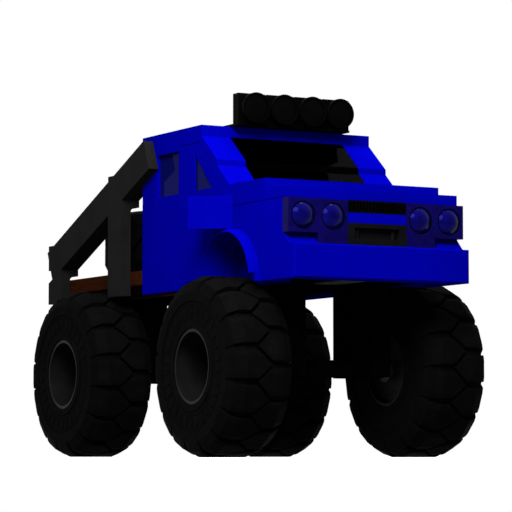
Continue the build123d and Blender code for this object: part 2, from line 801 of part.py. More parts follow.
# Roof lamps on a tray that reaches past the roof's front edge: square housings with flared round fronts
roof_top = roof_underside + roof_thickness
bar_half = roof_lamp_pitch * roof_lamp_count / 2
tray_front_back = roof_front_back - tray_overhang
with BuildPart() as lamp_tray:
    tray_backs = (tray_front_back, tray_front_back + tray_length)
    slab(tray_backs, (-bar_half, bar_half), (roof_top, roof_top + tray_thickness))
keep("lamp_tray", lamp_tray.part)
with BuildPart() as roof_lamps:
    lamp_low = roof_top + tray_thickness
    lens_radius = roof_lamp_size / 2 - roof_lamp_lip
    for lamp in range(roof_lamp_count):
        middle = (lamp - (roof_lamp_count - 1) / 2) * roof_lamp_pitch
        sides = (middle - roof_lamp_size / 2, middle + roof_lamp_size / 2)
        lamp_backs = (tray_front_back, tray_front_back + roof_lamp_depth)
        slab(lamp_backs, sides, (lamp_low, lamp_low + roof_lamp_size))
        rim_z = belly_height + lamp_low + roof_lamp_size / 2
        lamp_face = Plane((nose_x - tray_front_back, middle, rim_z), x_dir=(0, 1, 0), z_dir=(0, 0, 1))
        with BuildSketch(lamp_face):
            with BuildLine():
                Polyline(
                    (0, 0),
                    (roof_lamp_neck, 0),
                    (roof_lamp_size / 2, -roof_lamp_reach + roof_lamp_rim),
                    (roof_lamp_size / 2, -roof_lamp_reach),
                    (lens_radius, -roof_lamp_reach),
                    (lens_radius, -roof_lamp_reach + roof_lamp_dish),
                )
                lens_top = (0, -roof_lamp_reach + roof_lamp_dish - roof_lamp_crown)
                TangentArc(lens_top, (lens_radius, -roof_lamp_reach + roof_lamp_dish), tangent=(1, 0))
                Line(lens_top, (0, 0))
            make_face()
        revolve(axis=Axis(lamp_face.origin, (1, 0, 0)))
keep("roof_lamps", roof_lamps.part)

# Timber deck: boards, edge boards and cross bearers
with BuildPart() as timber_deck:
    deck_inner = half_width - edge_board
    slab((deck_front_back, deck_rear_back), (-deck_inner, deck_inner), (deck_top - deck_board, deck_top))
    for side in (-1, 1):
        edge_sides = (side * deck_inner, side * half_width)
        slab((deck_front_back, deck_rear_back), edge_sides, (deck_top - edge_board_height, deck_top))
    slab(
        (deck_rear_back - edge_board, deck_rear_back),
        (-deck_inner, deck_inner),
        (deck_top - edge_board_height, deck_top - deck_board),
    )
    first_bearer = deck_front_back + cross_bearer_inset
    bearer_pitch = (deck_rear_back - tail_member_inset - first_bearer) / (cross_bearer_count - 1)
    for bearer in range(cross_bearer_count):
        back = first_bearer + bearer * bearer_pitch
        bearer_backs = (back - cross_bearer_width / 2, back + cross_bearer_width / 2)
        slab(bearer_backs, (-deck_inner, deck_inner), (rail_height, deck_top - deck_board))
    plank_pitch = 2 * deck_inner / plank_count
    for joint in range(1, plank_count):
        middle = joint * plank_pitch - deck_inner
        groove_sides = (middle - plank_groove / 2, middle + plank_groove / 2)
        groove_heights = (deck_top - plank_groove_depth, deck_top)
        slab((deck_front_back, deck_rear_back), groove_sides, groove_heights, Mode.SUBTRACT)
keep("timber_deck", timber_deck.part)
with BuildPart() as deck_bearers:
    for side in (-1, 1):
        sides = (side * bearer_centre - bearer_width / 2, side * bearer_centre + bearer_width / 2)
        slab((cab_rear_back - bearer_lead, deck_rear_back - edge_board), sides, (0, rail_height))
keep("deck_bearers", deck_bearers.part)

# Side racks: two posts and a sloping arm on each side, in an outer and an inner layer, clear of the tyres
post_backs = {"front": deck_front_back + front_post_setback, "rear": deck_rear_back - post_length}
rack_layers = ((-half_width, rack_thickness), (-half_width + rack_inner_thickness, rack_inner_thickness))


def arm_point(distance, offset):
    """Point of the sloping arm, by its distance from the front end and its offset from the middle line."""
    place = arm_front + along_arm * distance + across_arm * offset
    return (place.X, place.Y)


def arm_underside(back):
    """Height of the arm's lower edge at a distance back."""
    corner = arm_point(0, -arm_depth / 2)
    return corner[1] + (back - corner[0]) * along_arm.Y / along_arm.X


arm_outline = (
    arm_point(0, arm_depth / 2),
    arm_point(0, -arm_depth / 2),
    arm_point(arm_length, -arm_depth / 2),
    arm_point(arm_length, arm_depth / 2),
)
with BuildPart() as rack_arm:
    for y_start, thickness in rack_layers:
        with BuildSketch(side_plane(y_start)):
            Polygon(*side_points(arm_outline), align=None)
            for back in post_backs.values():
                low = arm_underside(back)
                post_rear = back + post_length
                cap = ((back, low), (post_rear, low), (post_rear, low + post_rise), (back, low + post_rise))
                Polygon(*side_points(cap), align=None)
        extrude(amount=thickness)
    cab_sides = (-half_width, -half_width + rack_inner_thickness)
    slab((bumper_depth, deck_front_back), cab_sides, (0, roof_underside + arm_depth), Mode.SUBTRACT)
keep_pair("rack_arm", rack_arm.part)
for name, back in post_backs.items():
    with BuildPart() as rack_post:
        for (y_start, thickness), low in zip(rack_layers, (0, arm_underside(back) - knee_drop)):
            with BuildSketch(side_plane(y_start)):
                post_rear = back + post_length
                top = arm_underside(back)
                post_outline = ((back, low), (post_rear, low), (post_rear, top), (back, top))
                Polygon(*side_points(post_outline), align=None)
                above_arm = ((back, top), (post_rear, arm_underside(post_rear)), (post_rear, top))
                Polygon(*side_points(above_arm), align=None, mode=Mode.SUBTRACT)
            extrude(amount=thickness)
        with BuildSketch(Plane.XZ):
            with Locations((rear_axle_x, axle_height)):
                Circle(tyre_radius + post_tyre_gap)
        extrude(amount=half_width + rack_thickness, mode=Mode.SUBTRACT)
    keep_pair("rack_post_" + name, rack_post.part)

# Engine: a V block on arms to the frame rails, with rocker covers, plenum, air cleaner and pulleys
crankcase_low = engine_rise + sump_height
crankcase_top = crankcase_low + crankcase_height
bank_foot = (crankcase_half + bank_rise, crankcase_top + bank_rise)
bank_head = (bank_foot[0] - bank_width, bank_foot[1] + bank_width)
valley_height = bank_head[1] - (bank_head[0] - valley_half)
half_block = (
    (sump_half, engine_rise),
    (crankcase_half, crankcase_low),
    (crankcase_half, crankcase_top),
    bank_foot,
    bank_head,
    (valley_half, valley_height),
)
engine_middle_x = nose_x - engine_back - engine_length / 2
with BuildPart() as engine:
    with BuildSketch(Plane((nose_x - engine_back, 0, belly_height), x_dir=(0, 1, 0), z_dir=(1, 0, 0))):
        Polygon(*half_block, *[(-across, height) for across, height in half_block[::-1]], align=None)
    extrude(amount=-engine_length)
    for side in (-1, 1):
        middle_back = engine_back + engine_length / 2
        arm_backs = (middle_back - mount_length / 2, middle_back + mount_length / 2)
        arm_sides = (0, side * rail_inner)
        slab(arm_backs, arm_sides, (rail_height - mount_height, rail_height))
        cover_middle = (bank_foot[0] + bank_head[0]) / 2
        cover_height_above = belly_height + (bank_foot[1] + bank_head[1]) / 2
        cover_place = Plane(
            (engine_middle_x, side * cover_middle, cover_height_above), x_dir=(1, 0, 0), z_dir=(0, side, 1)
        )
        with BuildSketch(cover_place):
            RectangleRounded(engine_length - 2 * cover_inset, cover_width, cover_corner)
        extrude(amount=cover_height)
        manifold_side = side * (crankcase_half + bank_rise / 2 + manifold_radius)
        manifold_z = belly_height + crankcase_top + bank_rise / 2
        with Locations(Location((engine_middle_x, manifold_side, manifold_z), (0, 90, 0))):
            Cylinder(manifold_radius, manifold_length)
    plenum_top = valley_height + plenum_height
    plenum_backs = (middle_back - plenum_length / 2, middle_back + plenum_length / 2)
    slab(plenum_backs, (-plenum_width / 2, plenum_width / 2), (valley_height, plenum_top))
    with Locations((engine_middle_x, 0, belly_height + plenum_top + cleaner_height / 2)):
        Cylinder(cleaner_radius, cleaner_height)
    crank_height = crankcase_top - crankcase_height / 2
    for radius, height in ((crank_pulley_radius, crank_height), (pump_pulley_radius, valley_height)):
        with BuildSketch(Plane((nose_x - engine_back, 0, belly_height + height), z_dir=(1, 0, 0))):
            Circle(radius)
        extrude(amount=pulley_width)
    bell_x = nose_x - engine_back - engine_length
    with BuildSketch(Plane((bell_x, 0, belly_height + crankcase_top), z_dir=(-1, 0, 0))):
        Circle(bell_radius)
    extrude(amount=bell_length)
keep("engine", engine.part)

# Bench seat
with BuildPart() as bench_seat:
    seat_rear_back = cab_rear_back - wall
    seat_front_back = seat_rear_back - seat_depth
    half_seat = seat_width / 2
    seat_top = floor_height + seat_height
    slab((seat_front_back, seat_rear_back), (-half_seat, half_seat), (floor_height, seat_top))
    cushion_backs = (seat_rear_back - seat_cushion, seat_rear_back)
    slab(cushion_backs, (-half_seat, half_seat), (seat_top, seat_top + seat_back_height))
keep("bench_seat", bench_seat.part)

# Dashboard on the firewall, with the steering wheel on its column
dash_front_back = screen_base_back + firewall
with BuildPart() as dashboard:
    slab(
        (dash_front_back, dash_front_back + dash_depth),
        (-inner_face + shut_gap, inner_face - shut_gap),
        (window_sill - dash_height, window_sill),
    )
    rear_edges = dashboard.faces().sort_by(Axis.X)[0].edges().filter_by(Axis.Y)
    chamfer(rear_edges.sort_by(Axis.Z)[-1], dash_chamfer)
keep("dashboard", dashboard.part)
with BuildPart() as steering_wheel:
    column_height = belly_height + window_sill - dash_height / 2
    column_foot = (nose_x - dash_front_back - dash_depth, driver_offset, column_height)
    column_axis = Vector(-cos(radians(column_slope)), 0, sin(radians(column_slope)))
    with BuildSketch(Plane(column_foot, z_dir=column_axis)):
        Circle(steering_column_radius)
    extrude(amount=column_length)
    with Locations(Plane(Vector(*column_foot) + column_axis * column_length, z_dir=column_axis)):
        Torus(steering_wheel_radius, steering_wheel_tube)
        Box(2 * steering_wheel_radius, steering_wheel_tube, steering_wheel_tube)
    split(bisect_by=Plane(column_foot, z_dir=(-1, 0, 0)), keep=Keep.TOP)
keep("steering_wheel", steering_wheel.part)

os.makedirs("parts", exist_ok=True)
for name, part in pieces.items():
    export_step(part, "parts/" + name + ".step")
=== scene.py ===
"""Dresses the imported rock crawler: paint, timber, rubber, glass, cushions, lamps and small hardware."""
import json
import math

import bpy
from bpy.props import FloatProperty, FloatVectorProperty, IntProperty, PointerProperty
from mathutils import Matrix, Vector


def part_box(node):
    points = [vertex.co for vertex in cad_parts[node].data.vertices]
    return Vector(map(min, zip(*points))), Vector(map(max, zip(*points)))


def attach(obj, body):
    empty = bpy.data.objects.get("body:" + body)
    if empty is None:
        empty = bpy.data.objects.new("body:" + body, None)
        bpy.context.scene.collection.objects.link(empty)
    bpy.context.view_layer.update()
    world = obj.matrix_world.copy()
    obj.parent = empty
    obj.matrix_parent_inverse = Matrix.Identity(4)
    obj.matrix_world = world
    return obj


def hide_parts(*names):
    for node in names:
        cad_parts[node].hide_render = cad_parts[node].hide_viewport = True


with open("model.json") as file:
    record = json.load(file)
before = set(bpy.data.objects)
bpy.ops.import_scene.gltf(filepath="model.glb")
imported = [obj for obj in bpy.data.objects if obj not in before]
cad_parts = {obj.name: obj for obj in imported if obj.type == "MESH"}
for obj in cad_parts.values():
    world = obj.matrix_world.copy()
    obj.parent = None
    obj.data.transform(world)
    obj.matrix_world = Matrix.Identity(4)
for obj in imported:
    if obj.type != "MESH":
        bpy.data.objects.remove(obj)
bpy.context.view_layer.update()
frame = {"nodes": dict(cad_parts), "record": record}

bl_info = {
    "name": "Rock crawler dressing",
    "version": (1, 0, 0),
    "blender": (4, 5, 0),
    "location": "View3D > Sidebar > Crawler",
    "description": "Paints the crawler's solids and adds its cushions, lamps and hardware",
    "category": "Object",
}

WHEELS = {
    "front_right": "wheel_front_right",
    "front_left": "wheel_front_left",
    "rear_right": "wheel_rear_right",
    "rear_left": "wheel_rear_left",
}
SIDES = {"right": -1, "left": 1}
FORWARD = (1, 0, 0)
ACROSS = (0, 1, 0)
UP = (0, 0, 1)
X_INDEX = 0
Z_INDEX = 2
MERGE_DISTANCE = 0.00005
SMOOTH_ANGLE = math.radians(35.0)
# Solids whose finish isn't that of their slot
NODE_FINISHES = {"windscreen": "screen_glass", "fairlead": "cab_plastic"}
PLANK_WIDTH = 0.17
# How far the timber's grain is moved along from one plank to the next
GRAIN_SHIFT = 3.7
CAB_PLASTIC_TONE = 4.0


def colour(name, description, default):
    """A colour property with its alpha left out."""
    return FloatVectorProperty(
        name=name, description=description, subtype="COLOR", size=3, min=0.0, max=1.0, default=default
    )


def length(name, description, default):
    """A length property in metres."""
    return FloatProperty(
        name=name, description=description, unit="LENGTH", subtype="DISTANCE", min=0.0, default=default
    )


def power(name, description, default):
    """A lamp's power in watts."""
    return FloatProperty(name=name, description=description, unit="POWER", min=0.0, default=default)


class CrawlerColours(bpy.types.PropertyGroup):
    """Colours of the crawler's finishes."""

    body: colour("Body blue", "Paint of the slab body", (0.0003, 0.0003, 0.27))
    frame: colour("Frame black", "Paint of the frame and axle pedestals", (0.0012, 0.0012, 0.0013))
    rack: colour("Rack grey", "Powder coat of the side racks", (0.0085, 0.0085, 0.0087))
    timber: colour("Timber", "Middle tone of the deck planks", (0.032, 0.0088, 0.003))
    rubber: colour("Rubber", "Tread and sidewall of the tyres", (0.0024, 0.0024, 0.0025))
    rim: colour("Rim steel", "Paint of the rim barrels", (0.006, 0.006, 0.0062))
    steel: colour("Bare steel", "Machined steel of knuckles and bolts", (0.07, 0.07, 0.072))
    glass: colour("Window tint", "Tint of the side windows", (0.002, 0.003, 0.085))
    screen: colour("Screen tint", "Tint of the windscreen", (0.02, 0.022, 0.07))
    lens: colour("Lamp block", "Moulded block of the head lamps", (0.003, 0.0012, 0.08))
    dome: colour("Lamp dome", "Glossy dome of the head lamps", (0.0015, 0.001, 0.06))
    plastic: colour("Black plastic", "Mouldings of the lamps and grille", (0.0009, 0.0009, 0.001))
    iron: colour("Engine iron", "Casting of the engine", (0.06, 0.06, 0.058))
    vinyl: colour("Seat vinyl", "Cover of the bench seat", (0.018, 0.018, 0.02))


class CrawlerSizes(bpy.types.PropertyGroup):
    """Sizes of the pieces added to the solids."""

    nut_circle: length("Nut circle", "Radius of the circle of wheel nuts", 0.15)
    nut_size: length("Nut size", "Radius over the corners of a wheel nut", 0.026)
    nut_count: IntProperty(name="Nuts", description="Wheel nuts on each disc", default=8, min=3, max=12)
    bezel: length("Lamp bezel", "Width of the bezel round a head lamp's bowl", 0.014)
    dome: length("Lamp dome", "How far a head lamp's dome stands out of its bowl", 0.045)
    crown: length("Lens crown", "How far a roof lamp's lens bulges from its seat", 0.0185)
    arch: length("Arch radius", "Radius of a fender's wheel arch", 0.462)
    flare: length("Flare radius", "Outer radius of the flare round an arch", 0.495)
    lip: length("Arch lip", "How far the sloped lip stands out from a flare", 0.05)
    band_depth: length("Band depth", "Depth of the sunk band in a sidewall", 0.008)
    rib_inner: length("Rib foot", "Radius at which a sidewall rib starts", 0.45)
    rib_outer: length("Rib head", "Radius at which a sidewall rib ends", 0.535)
    rib_width: length("Rib width", "Width of a sidewall rib", 0.026)
    rib_count: IntProperty(name="Ribs", description="Ribs on each sidewall", default=30, min=6, max=60)
    dash_slope: length("Dash slope", "Side of the sloped edge along the dashboard", 0.045)
    screw: length("Deck screw", "Radius of a deck screw's head", 0.009)
    seam: length("Seat seam", "Depth of the sewn channels in the bench cushions", 0.014)


class CrawlerStage(bpy.types.PropertyGroup):
    """Camera and light."""

    lens: FloatProperty(name="Lens", description="Focal length of the camera", unit="CAMERA", default=181.97)
    height: length("Camera height", "Height of the camera over the floor", 0.04)
    aim: length("Aim height", "Height of the view's middle at the crawler", 1.911)
    key: power("Key light", "Power of the large lamp in front", 2150.0)
    top: power("Top light", "Power of the lamp overhead", 1250.0)
    ambient: FloatProperty(name="Ambient", description="Strength of the room's light", default=0.22)


def context_sizes():
    """The sizes of the added pieces."""
    return bpy.context.scene.crawler_sizes


# Node helpers


def tone(rgb, factor):
    """A colour made darker or lighter."""
    return tuple(min(1.0, value * factor) for value in rgb)


def seen_directly(nodes, links):
    """1 for rays from the camera, a shine or a clear piece, and 0 for rays that only bring light."""
    path = nodes.new("ShaderNodeLightPath")
    seen = path.outputs["Is Camera Ray"]
    for ray in ("Is Glossy Ray", "Is Transmission Ray"):
        larger = nodes.new("ShaderNodeMath")
        larger.operation = "MAXIMUM"
        links.new(seen, larger.inputs[0])
        links.new(path.outputs[ray], larger.inputs[1])
        seen = larger.outputs["Value"]
    return seen


class Finish:
    """A material under construction, with shorthand for its nodes."""

    EDGE_SAMPLES = 4

    def __init__(self, name):
        self.material = bpy.data.materials.new(name)
        self.material.use_nodes = True
        self.nodes = self.material.node_tree.nodes
        self.links = self.material.node_tree.links
        self.shader = self.nodes["Principled BSDF"]
        self.place = self.nodes.new("ShaderNodeTexCoord").outputs["Object"]

    def set(self, **values):
        """Constant values on the shader's own sockets."""
        for socket, value in values.items():
            self.shader.inputs[socket.replace("_", " ")].default_value = value
        return self

    def scaled(self, scale):
        """Object coordinates with a scale for each axis."""
        node = self.nodes.new("ShaderNodeMapping")
        node.inputs["Scale"].default_value = scale
        self.links.new(self.place, node.inputs["Vector"])
        return node.outputs["Vector"]

    def noise(self, scale, detail=3.0, rough=0.5, vector=None, distortion=0.0):
        """Grey noise at a scale in cycles per metre."""
        node = self.nodes.new("ShaderNodeTexNoise")
        node.inputs["Scale"].default_value = scale
        node.inputs["Detail"].default_value = detail
        node.inputs["Roughness"].default_value = rough
        node.inputs["Distortion"].default_value = distortion
        self.links.new(vector or self.place, node.inputs["Vector"])
        return node.outputs["Fac"]

    def cells(self, scale, feature="F1", vector=None):
        """Distance pattern of scattered cells."""
        node = self.nodes.new("ShaderNodeTexVoronoi")
        node.feature = feature
        node.inputs["Scale"].default_value = scale
        self.links.new(vector or self.place, node.inputs["Vector"])
        return node.outputs["Distance"]

    def ramp(self, value, stops):
        """Colour ramp from (position, colour) stops."""
        node = self.nodes.new("ShaderNodeValToRGB")
        points = node.color_ramp.elements
        while len(points) < len(stops):
            points.new(0.5)
        for point, (position, rgb) in zip(points, stops):
            point.position = position
            point.color = (*rgb, 1.0)
        self.links.new(value, node.inputs["Fac"])
        return node.outputs["Color"]

    def shades(self, value, rgb, *stops):
        """Colour ramp through shades of one colour, from (position, factor) stops."""
        return self.ramp(value, [(position, tone(rgb, factor)) for position, factor in stops])

    def spread(self, value, low, high, start=0.0, stop=1.0):
        """A value mapped from one span to another."""
        node = self.nodes.new("ShaderNodeMapRange")
        node.inputs["From Min"].default_value = start
        node.inputs["From Max"].default_value = stop
        node.inputs["To Min"].default_value = low
        node.inputs["To Max"].default_value = high
        self.links.new(value, node.inputs["Value"])
        return node.outputs["Result"]

    def math(self, operation, a, b=None):
        """Math on one or two values or numbers."""
        node = self.nodes.new("ShaderNodeMath")
        node.operation = operation
        for socket, value in zip(node.inputs, (a, b)):
            if isinstance(value, (int, float)):
                socket.default_value = value
            elif value is not None:
                self.links.new(value, socket)
        return node.outputs["Value"]

    def blend(self, share, a, b):
        """Mixes two colours by a linked share."""
        node = self.nodes.new("ShaderNodeMix")
        node.data_type = "RGBA"
        for socket, value in ((node.inputs[0], share), (node.inputs[6], a), (node.inputs[7], b)):
            if isinstance(value, tuple):
                socket.default_value = (*value, 1.0)
            else:
                self.links.new(value, socket)
        return node.outputs[2]

    def base(self, rgb):
        """Links a colour to the shader."""
        self.links.new(rgb, self.shader.inputs["Base Color"])

    def rough(self, value, low, high):
        """Links a roughness that a pattern moves between two values."""
        self.links.new(self.spread(value, low, high), self.shader.inputs["Roughness"])

    def bump(self, height, strength, distance, edge=0.0):
        """Raises the surface by a height pattern and, where an edge radius is given, softens its edges."""
        node = self.nodes.new("ShaderNodeBump")
        node.inputs["Strength"].default_value = strength
        node.inputs["Distance"].default_value = distance
        if edge:
            rounded = self.nodes.new("ShaderNodeBevel")
            rounded.samples = self.EDGE_SAMPLES
            rounded.inputs["Radius"].default_value = edge
            self.links.new(rounded.outputs["Normal"], node.inputs["Normal"])
        self.links.new(height, node.inputs["Height"])
        self.links.new(node.outputs["Normal"], self.shader.inputs["Normal"])


# Finishes. Their shine is low, since the white room turns dark paint grey at shallow angles.


def slab_paint(rgb):
    """Body paint: a deep coat with faint unevenness and specks of dust."""
    finish = Finish("slab_paint")
    deep = finish.shades(finish.noise(scale=1.7, detail=4.0, rough=0.55), rgb, (0.3, 0.92), (0.7, 1.08))
    dust = finish.noise(scale=26.0, detail=5.0, rough=0.7)
    share = finish.spread(dust, low=0.0, high=0.05, start=0.55, stop=0.8)
    finish.base(finish.blend(share, deep, tone(rgb, 0.7)))
    finish.rough(finish.noise(scale=9.0, detail=4.0), low=0.3, high=0.42)
    finish.bump(finish.noise(scale=210.0, detail=1.0), strength=0.05, distance=0.002, edge=0.005)
    return finish.set(Specular_IOR_Level=0.0).material


def powder_coat(name, rgb, rough, sheen):
    """Powder coat with its fine pimples and rubbed patches."""
    finish = Finish(name)
    patches = finish.noise(scale=3.0, detail=5.0, rough=0.6)
    finish.base(finish.shades(patches, rgb, (0.3, 0.8), (0.75, 1.25)))
    finish.rough(finish.noise(scale=14.0), low=rough - 0.06, high=rough + 0.08)
    finish.bump(finish.noise(scale=420.0, detail=2.0), strength=0.12, distance=0.001, edge=0.005)
    return finish.set(Specular_IOR_Level=sheen).material


def plank_timber(rgb):
    """Oiled planks: grain along X that starts anew in each plank, a tint for each plank, and a few knots."""
    finish = Finish("plank_timber")
    parts = finish.nodes.new("ShaderNodeSeparateXYZ")
    finish.links.new(finish.place, parts.inputs["Vector"])
    plank = finish.math("FLOOR", finish.math("DIVIDE", parts.outputs["Y"], PLANK_WIDTH))
    chance = finish.nodes.new("ShaderNodeTexWhiteNoise")
    chance.noise_dimensions = "1D"
    finish.links.new(plank, chance.inputs["W"])
    shift = finish.nodes.new("ShaderNodeCombineXYZ")
    finish.links.new(finish.math("MULTIPLY", plank, GRAIN_SHIFT), shift.inputs["X"])
    moved = finish.nodes.new("ShaderNodeVectorMath")
    moved.operation = "ADD"
    finish.links.new(finish.scaled((1.1, 16.0, 16.0)), moved.inputs[0])
    finish.links.new(shift.outputs["Vector"], moved.inputs[1])
    along = moved.outputs["Vector"]
    grain = finish.noise(scale=3.2, detail=6.0, rough=0.65, vector=along, distortion=0.6)
    fibres = finish.noise(scale=40.0, rough=0.6, vector=along)
    wood = finish.shades(grain, rgb, (0.28, 0.35), (0.46, 0.85), (0.6, 1.25), (0.74, 0.55))
    spots = finish.cells(scale=2.1, vector=finish.scaled((0.5, 2.4, 2.4)))
    knots = finish.spread(spots, low=1.0, high=0.0, start=0.0, stop=0.1)
    wood = finish.blend(finish.math("MULTIPLY", knots, 0.8), wood, tone(rgb, 0.15))
    shade = finish.spread(chance.outputs["Value"], low=0.0, high=0.55)
    finish.base(finish.blend(shade, wood, tone(rgb, 0.45)))
    finish.rough(fibres, low=0.55, high=0.8)
    relief = finish.math("ADD", fibres, finish.math("MULTIPLY", grain, 0.6))
    finish.bump(relief, strength=0.35, distance=0.003)
    return finish.set(Specular_IOR_Level=0.001).material


def tyre_rubber(rgb):
    """Tyre rubber: matt, with pale scuffs and a fine moulded grain."""
    finish = Finish("tyre_rubber")
    scuff = finish.noise(scale=7.0, detail=6.0, rough=0.7)
    finish.base(finish.shades(scuff, rgb, (0.35, 0.75), (0.62, 1.1), (0.8, 1.9)))
    finish.rough(finish.noise(scale=30.0, detail=4.0), low=0.5, high=0.72)
    coarse = finish.math("MULTIPLY", finish.noise(scale=45.0), 0.8)
    grain = finish.math("ADD", finish.noise(scale=260.0, detail=2.0), coarse)
    finish.bump(grain, strength=0.22, distance=0.002, edge=0.008)
    return finish.set(Specular_IOR_Level=0.002).material


def rim_enamel(rgb):
    """Rim barrel: dark enamel over spun steel."""
    finish = Finish("rim_enamel")
    smear = finish.noise(scale=5.0, detail=4.0, rough=0.6)
    finish.base(finish.shades(smear, rgb, (0.3, 0.75), (0.75, 1.3)))
    finish.rough(finish.noise(scale=18.0, detail=4.0), low=0.22, high=0.36)
    finish.bump(finish.noise(scale=150.0, detail=2.0), strength=0.05, distance=0.001)
    return finish.set(Specular_IOR_Level=0.035).material


def machined_steel(rgb):
    """Machined steel with a fine finish and light tarnish."""
    finish = Finish("machined_steel")
    tarnish = finish.noise(scale=11.0, detail=5.0, rough=0.65)
    finish.base(finish.shades(tarnish, rgb, (0.3, 0.6), (0.7, 1.0)))
    finish.rough(finish.noise(scale=60.0), low=0.28, high=0.48)
    finish.bump(finish.noise(scale=300.0, detail=2.0), strength=0.08, distance=0.001)
    return finish.set(Metallic=1.0, Specular_Tint=(0.2, 0.2, 0.2, 1.0)).material


def tinted_glass(name, rgb, clear):
    """Window glass with a tint, faint wipe marks, a share of light that passes and little reflection."""
    finish = Finish(name)
    wipes = finish.noise(scale=6.0, vector=finish.scaled((0.4, 3.0, 1.2)))
    finish.base(finish.shades(wipes, rgb, (0.3, 0.9), (0.7, 1.1)))
    finish.rough(wipes, low=0.02, high=0.05)
    return finish.set(Transmission_Weight=clear, IOR=1.05, Specular_IOR_Level=0.5).material


def lamp_block(rgb):
    """Moulded lamp block: tinted, partly clear and slightly cloudy."""
    finish = Finish("lamp_block")
    cloud = finish.noise(scale=8.0, detail=4.0, rough=0.6)
    finish.base(finish.shades(cloud, rgb, (0.3, 0.7), (0.7, 1.35)))
    finish.rough(finish.noise(scale=25.0), low=0.08, high=0.2)
    finish.bump(finish.noise(scale=90.0, detail=2.0), strength=0.04, distance=0.001)
    return finish.set(Transmission_Weight=0.3, IOR=1.12, Specular_IOR_Level=0.06).material


def dome_glass(rgb):
    """Head lamp dome: dark glossy glass whose shine is blue."""
    finish = Finish("lamp_dome")
    finish.base(finish.shades(finish.noise(scale=14.0), rgb, (0.3, 0.7), (0.7, 1.4)))
    finish.rough(finish.noise(scale=30.0), low=0.06, high=0.14)
    return finish.set(IOR=1.5, Specular_IOR_Level=0.07, Specular_Tint=(0.1, 0.1, 1.0, 1.0)).material


def moulded_plastic(name, rgb):
    """Black moulded plastic with a leather-like grain."""
    finish = Finish(name)
    fade = finish.noise(scale=4.0, detail=4.0, rough=0.6)
    finish.base(finish.shades(fade, rgb, (0.3, 0.75), (0.75, 1.5)))
    finish.rough(finish.noise(scale=30.0), low=0.38, high=0.55)
    finish.bump(finish.cells(scale=380.0), strength=0.1, distance=0.001, edge=0.003)
    return finish.set(Specular_IOR_Level=0.006).material


def cast_iron(rgb):
    """Rough casting with oil stains."""
    finish = Finish("cast_iron")
    oil = finish.noise(scale=6.0, detail=6.0, rough=0.7)
    finish.base(finish.shades(oil, rgb, (0.35, 0.25), (0.65, 1.0)))
    finish.rough(oil, low=0.4, high=0.75)
    finish.bump(finish.noise(scale=140.0, detail=4.0, rough=0.7), strength=0.4, distance=0.002)
    return finish.set(Metallic=0.35, Specular_IOR_Level=0.0, Specular_Tint=(0.1, 0.1, 0.1, 1.0)).material


def grained_vinyl(rgb):
    """Seat vinyl: pebbled grain and shine where it is sat on."""
    finish = Finish("grained_vinyl")
    worn = finish.noise(scale=5.0, detail=4.0, rough=0.6)
    finish.base(finish.shades(worn, rgb, (0.3, 0.8), (0.7, 1.3)))
    finish.rough(worn, low=0.35, high=0.6)
    finish.bump(finish.cells(scale=230.0, feature="DISTANCE_TO_EDGE"), strength=0.35, distance=0.002)
    return finish.set(Specular_IOR_Level=0.3).material


def mirror_silver():
    """Silvered mirror glass with a faint haze."""
    finish = Finish("mirror_silver")
    haze = finish.noise(scale=12.0, detail=4.0, rough=0.6)
    finish.base(finish.ramp(haze, ((0.3, (0.55, 0.56, 0.58)), (0.7, (0.72, 0.73, 0.75)))))
    finish.rough(haze, low=0.03, high=0.12)
    return finish.set(Metallic=1.0).material


FINISHES = {}


def finishes():
    """Makes each finish once. All but the last three are named after a material slot."""
    if not FINISHES:
        paint = bpy.context.scene.crawler_colours
        FINISHES.update(
            body_blue=slab_paint(paint.body),
            frame_black=powder_coat("frame_paint", paint.frame, rough=0.6, sheen=0.0),
            rack_grey=powder_coat("rack_coat", paint.rack, rough=0.5, sheen=0.004),
            timber=plank_timber(paint.timber),
            tyre_rubber=tyre_rubber(paint.rubber),
            rim_steel=rim_enamel(paint.rim),
            bare_steel=machined_steel(paint.steel),
            window_glass=tinted_glass("window_tint", paint.glass, clear=0.12),
            lamp_lens=lamp_block(paint.lens),
            lamp_black=moulded_plastic("lamp_moulding", paint.plastic),
            engine_iron=cast_iron(paint.iron),
            seat_vinyl=grained_vinyl(paint.vinyl),
            cab_plastic=moulded_plastic("cab_moulding", tone(paint.plastic, CAB_PLASTIC_TONE)),
            screen_glass=tinted_glass("screen_tint", paint.screen, clear=1.0),
            lamp_dome=dome_glass(paint.dome),
            mirror=mirror_silver(),
        )
    return FINISHES


def dress(piece, finish):
    """Gives a piece one finish."""
    piece.data.materials.clear()
    piece.data.materials.append(finishes()[finish])


def fit(piece, body, slot, finish=None):
    """Paints a piece with the given finish, or else the finish named after its slot, and lets it ride on a
    body.
    """
    dress(piece, finish or slot)
    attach(piece, body)


# Modelling helpers


def clear_selection():
    """Leaves edit mode and selects nothing."""
    if bpy.context.object and bpy.context.object.mode != "OBJECT":
        bpy.ops.object.mode_set(mode="OBJECT")
    bpy.ops.object.select_all(action="DESELECT")


def edit_all():
    """Opens the active piece for editing, with all of its mesh selected."""
    bpy.ops.object.mode_set(mode="EDIT")
    bpy.ops.mesh.select_all(action="SELECT")


def end_edit():
    """Goes back from editing a mesh to the piece itself."""
    bpy.ops.object.mode_set(mode="OBJECT")


def rename(piece, name):
    """Names a piece and its mesh."""
    piece.name = name
    piece.data.name = name
    return piece


def apply_place(piece, name):
    """Names a new primitive and puts its place into its mesh."""
    bpy.ops.object.transform_apply(location=True, rotation=True, scale=True)
    return rename(piece, name)


